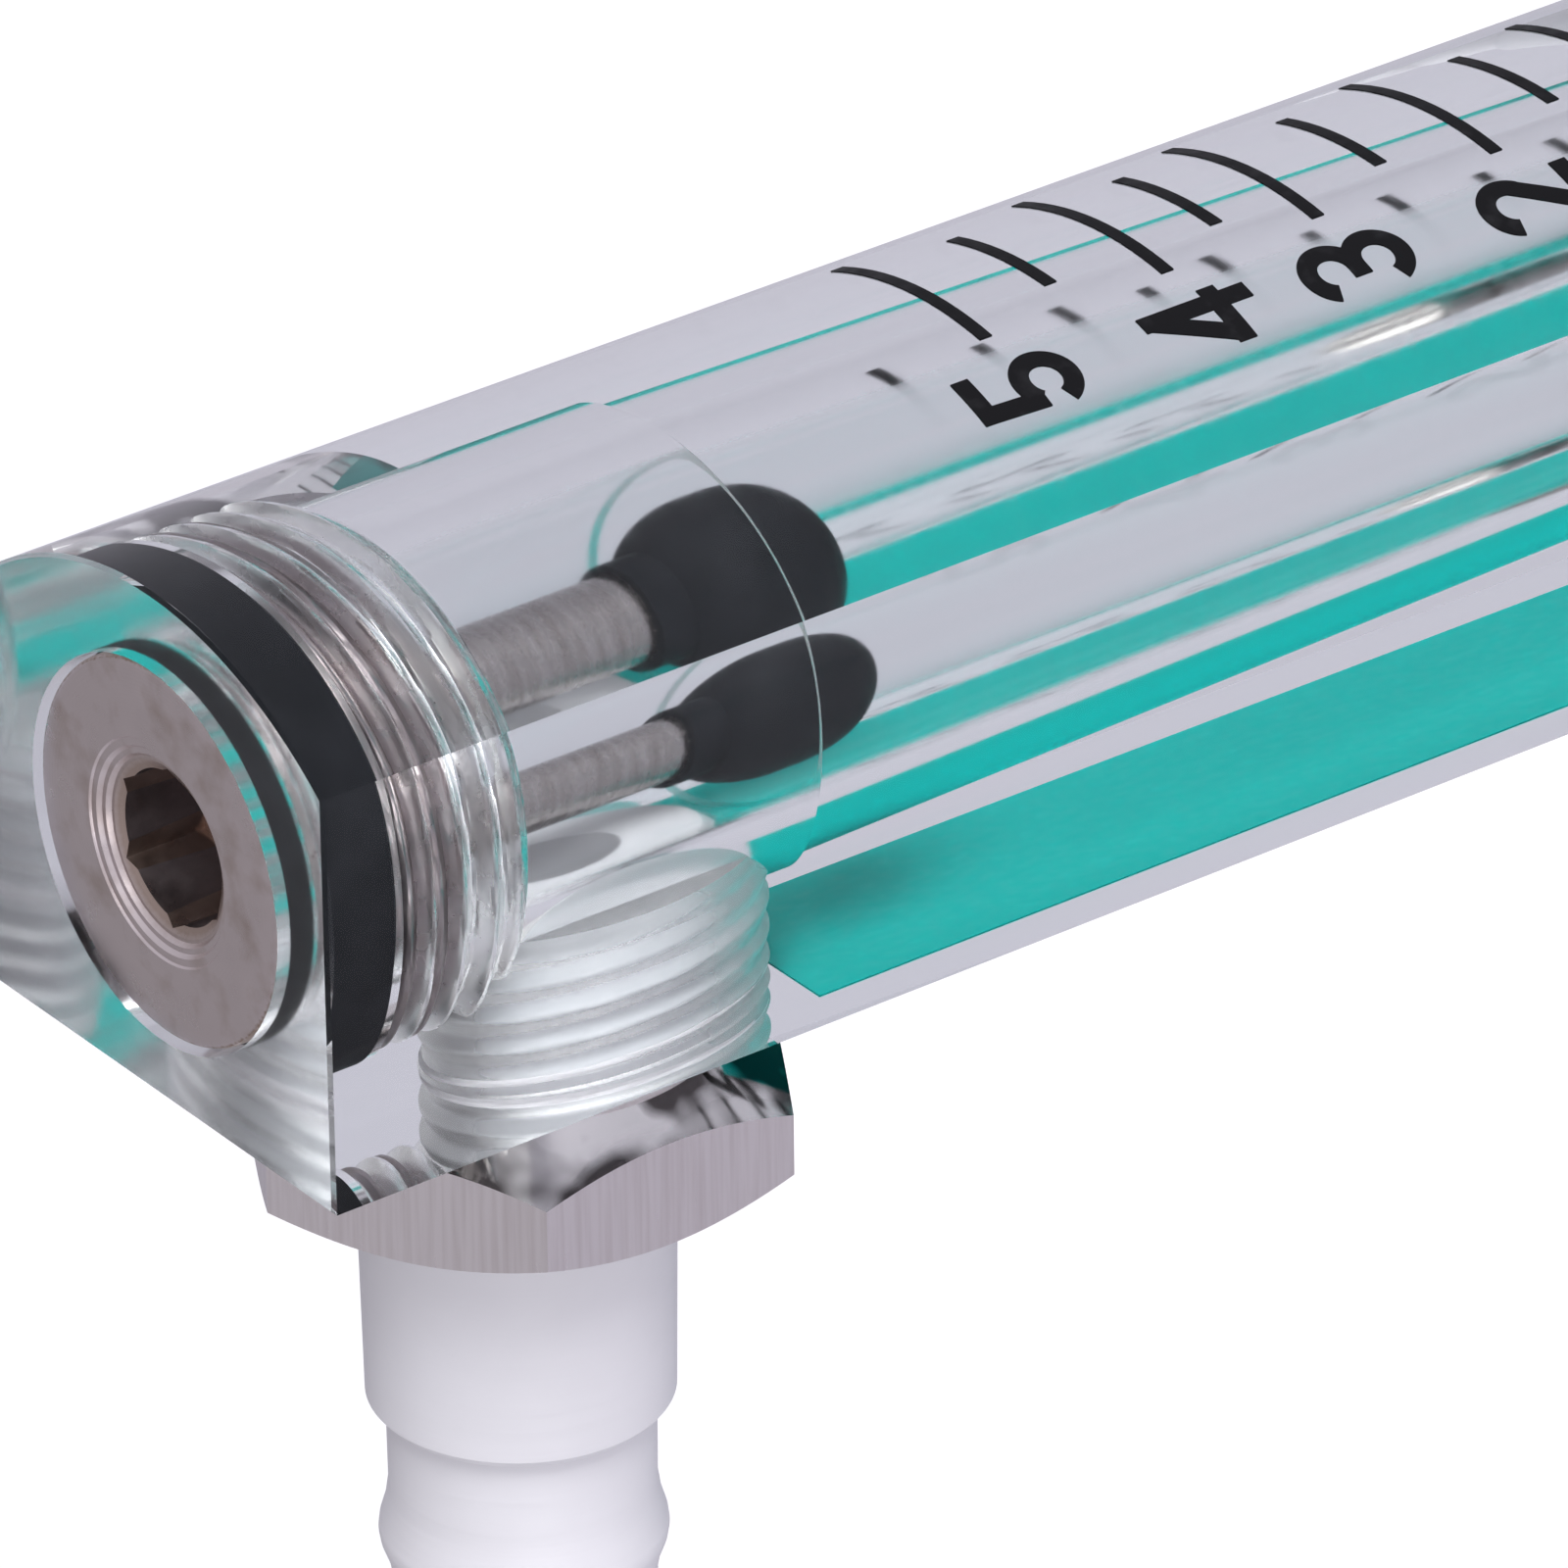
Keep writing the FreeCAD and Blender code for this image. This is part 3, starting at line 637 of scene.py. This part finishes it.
def make_seal(end):
    """The squeezed ring: flat where it bears on the seat's wall, a little way into the acrylic
    so that no film of air is left between them."""
    outside, inside = SEAT_RADIUS + SEAL_SQUEEZE, GROOVE_RADIUS + SEAL_SQUEEZE
    top, foot, edge = RIM_FOOT - SEAL_PLAY, GROOVE_FOOT + SEAL_PLAY, SEAL_EDGE
    rows = []
    for middle, centre, first in ((foot + edge, outside - edge, -90),
                                  (top - edge, outside - edge, 0),
                                  (top - edge, inside + edge, 90),
                                  (foot + edge, inside + edge, 180)):
        for step in range(7):
            angle = math.radians(first + 15 * step)
            rows.append((middle + edge * math.sin(angle), centre + edge * math.cos(angle), 0))
    seal = turned(f"{end}_seal_ring", rows, ENDS[end], loop=True)
    seal.data.materials.append(rubber)
    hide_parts(f"{end}_plug_seal")
    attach(seal, "meter")


# ---------------------------------------------------------------- fittings

FLOW_RADIUS = 4.5
SHANK_FOOT = -7.0
SHANK_TOP = 9.9
STEM_TOP = 25.7
BARB_CRESTS = (34.0, 41.2, 48.4)
BARB_VALLEY_RADIUS = 7.02
NOSE_TOP = 51.0


def make_fitting(end):
    """Threaded shank, tapered stem and a barb of three rounded crests, on one through bore."""
    rows = [(SHANK_FOOT, FLOW_RADIUS, 0), (SHANK_FOOT, MINOR_RADIUS - 0.3, 0),
            (SHANK_FOOT + 0.4, MINOR_RADIUS, 0)]
    rows += thread_rows(SHANK_FOOT + 0.45, SHANK_TOP, MINOR_RADIUS, MAJOR_RADIUS - MINOR_RADIUS)
    rows += [(SHANK_TOP, MINOR_RADIUS, 0), (SHANK_TOP, 8.45, 0),
             (STEM_TOP - 0.4, 8.2, 0), (STEM_TOP, 7.9, 0), (STEM_TOP, 7.15, 0), (31.0, 7.1, 0)]
    for crest in BARB_CRESTS:
        rows += [(crest - 1.6, 7.3, 0), (crest - 0.5, 7.62, 0), (crest, 7.68, 0),
                 (crest + 0.5, 7.6, 0), (crest + 1.6, 7.2, 0)]
        if crest != BARB_CRESTS[-1]:
            rows += [(crest + 2.6, BARB_VALLEY_RADIUS, 0), (crest + 4.4, BARB_VALLEY_RADIUS, 0)]
    rows += [(NOSE_TOP - 0.4, 6.3, 0), (NOSE_TOP, 6.0, 0), (NOSE_TOP, FLOW_RADIUS, 0)]
    fitting = turned(f"{end}_hose_fitting", rows, PORTS[end], loop=True)
    fitting.data.materials.append(white)
    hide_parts(f"{end}_fitting")
    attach(fitting, "meter")


# ---------------------------------------------------------------- panel nuts

NUT_GAP = 3.04
NUT_FAR = 10.4
NUT_FLATS = 27.3
NUT_FACE_RADIUS = 11.3
NUT_BACK_RADIUS = 13.65
NUT_TRIM_RADIUS = 17.0
NUT_SLOPE = math.tan(math.radians(30))
NUT_HOLE_RADIUS = 10.48
NUT_EDGE = 0.12


def make_nut(end):
    """Hexagon bar cut to length, with a polished cone at its near end and a small one behind."""
    nut = prism(f"{end}_panel_nut", hexagon(NUT_FLATS), NUT_GAP, NUT_FAR, PORTS[end])
    nut.data.materials.append(nut_nickel)
    near, far = NUT_GAP - CUTTER_EXTRA, NUT_FAR + CUTTER_EXTRA
    rows = [(near, 0.1, 0), (near, 9.0, 0), (NUT_GAP, NUT_FACE_RADIUS, 0),
            (NUT_GAP + (NUT_TRIM_RADIUS - NUT_FACE_RADIUS) * NUT_SLOPE, NUT_TRIM_RADIUS, 0),
            (NUT_FAR - (NUT_TRIM_RADIUS - NUT_BACK_RADIUS) * NUT_SLOPE, NUT_TRIM_RADIUS, 0),
            (NUT_FAR, NUT_BACK_RADIUS, 0), (far, 0.1, 0)]
    trim = turned("nut_trim", rows, PORTS[end])
    trim.data.materials.append(mirror_nickel)
    boolean(nut, trim, "INTERSECT")
    hole_rows = [(near, NUT_HOLE_RADIUS + 1.3, 0), (NUT_GAP + 0.3, NUT_HOLE_RADIUS, 0),
                 (NUT_FAR - 0.3, NUT_HOLE_RADIUS, 0), (far, NUT_HOLE_RADIUS + 1.3, 0)]
    hole = turned("nut_hole", hole_rows, PORTS[end])
    hole.data.materials.append(nut_nickel)
    boolean(nut, hole, "DIFFERENCE")
    break_edges(nut, NUT_EDGE)
    reshade(nut, 24)
    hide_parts(f"{end}_nut")
    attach(nut, f"{end}_nut")


for end in ("outlet", "inlet"):
    make_plug(end)
    make_seal(end)
    make_fitting(end)
    make_nut(end)

for name, finish in (("float", steel), ("outlet_stop_rod", steel), ("inlet_stop_rod", steel),
                     ("outlet_stop_bumper", rubber), ("inlet_stop_bumper", rubber)):
    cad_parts[name].data.materials.clear()
    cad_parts[name].data.materials.append(finish)


# ---------------------------------------------------------------- floor, light and camera

LAVENDER = (0.64, 0.63, 0.685)
DARK_SIDE = (0.36, 0.345, 0.365)
FLOOR_SPAN = 4000


def make_floor():
    """Pale floor: white to the camera, and the studio's lavender to everything it lights."""
    corners = [(-FLOOR_SPAN, -FLOOR_SPAN), (FLOOR_SPAN, -FLOOR_SPAN),
               (FLOOR_SPAN, FLOOR_SPAN), (-FLOOR_SPAN, FLOOR_SPAN)]
    floor = prism("floor", corners, -HALF_LENGTH - 2, -HALF_LENGTH)
    paint = Finish("floor_paint", LAVENDER, 0.9)
    path = node(paint.tree, "ShaderNodeLightPath")
    paint.tint(path.outputs["Is Camera Ray"], LAVENDER, (0.95, 0.95, 0.95))
    paint.set("Emission Color", (1, 1, 1, 1))
    paint.link(paint.math("MULTIPLY", path.outputs["Is Camera Ray"], 0.3),
               paint.shader.inputs["Emission Strength"])
    floor.data.materials.append(paint.material)


def make_world():
    """Even lavender studio, with one darker side for the metal to mirror."""
    world = bpy.data.worlds.new("studio")
    bpy.context.scene.world = world
    world.use_nodes = True
    tree = world.node_tree
    toward = node(tree, "ShaderNodeVectorMath", operation="DOT_PRODUCT")
    toward.inputs[1].default_value = (0.70, 0.49, 0.52)
    tree.links.new(node(tree, "ShaderNodeTexCoord").outputs["Generated"], toward.inputs[0])
    share = node(tree, "ShaderNodeMapRange")
    share.inputs["From Min"].default_value = 0.55
    share.inputs["From Max"].default_value = 0.95
    tree.links.new(toward.outputs["Value"], share.inputs["Value"])
    mix = node(tree, "ShaderNodeMix", data_type="RGBA")
    mix.inputs[6].default_value = (*LAVENDER, 1)
    mix.inputs[7].default_value = (*DARK_SIDE, 1)
    tree.links.new(share.outputs["Result"], mix.inputs[0])
    tree.links.new(mix.outputs[2], tree.nodes["Background"].inputs["Color"])


def softbox(name, place, aim, span, power):
    light = bpy.data.lights.new(name, "AREA")
    light.shape = "SQUARE"
    light.size = span
    light.energy = power
    lamp = bpy.data.objects.new(name, light)
    bpy.context.scene.collection.objects.link(lamp)
    lamp.location = place
    lamp.rotation_euler = (Vector(aim) - Vector(place)).to_track_quat("-Z", "Y").to_euler()


def make_camera():
    """The photo's view: a long lens, high to the left of the front, with the front face up."""
    camera = bpy.data.objects.new("camera", bpy.data.cameras.new("camera"))
    bpy.context.scene.collection.objects.link(camera)
    camera.data.sensor_width = 36
    camera.data.lens = 357.71
    camera.data.clip_end = 20
    right = Vector((-0.60171, 0.01095, -0.79864))
    up = Vector((0.38732, -0.87047, -0.30375))
    back = right.cross(up)
    camera.matrix_world = Matrix.Translation(Vector((-566.93, -403.87, 459.48)) * MM) @ Matrix(
        (right, up, back)).transposed().to_4x4()
    bpy.context.scene.camera = camera


make_floor()
make_world()
softbox("key", (-0.6, -1.2, 0.5), (0, 0, 0), 0.7, 14)
softbox("fill", (-1.2, 0.2, 0.6), (0, 0, 0), 0.8, 4.5)
make_camera()
bpy.context.scene.view_settings.view_transform = "Standard"
cycles = bpy.context.scene.cycles
cycles.max_bounces = 20
cycles.glossy_bounces = 16
cycles.transmission_bounces = 20
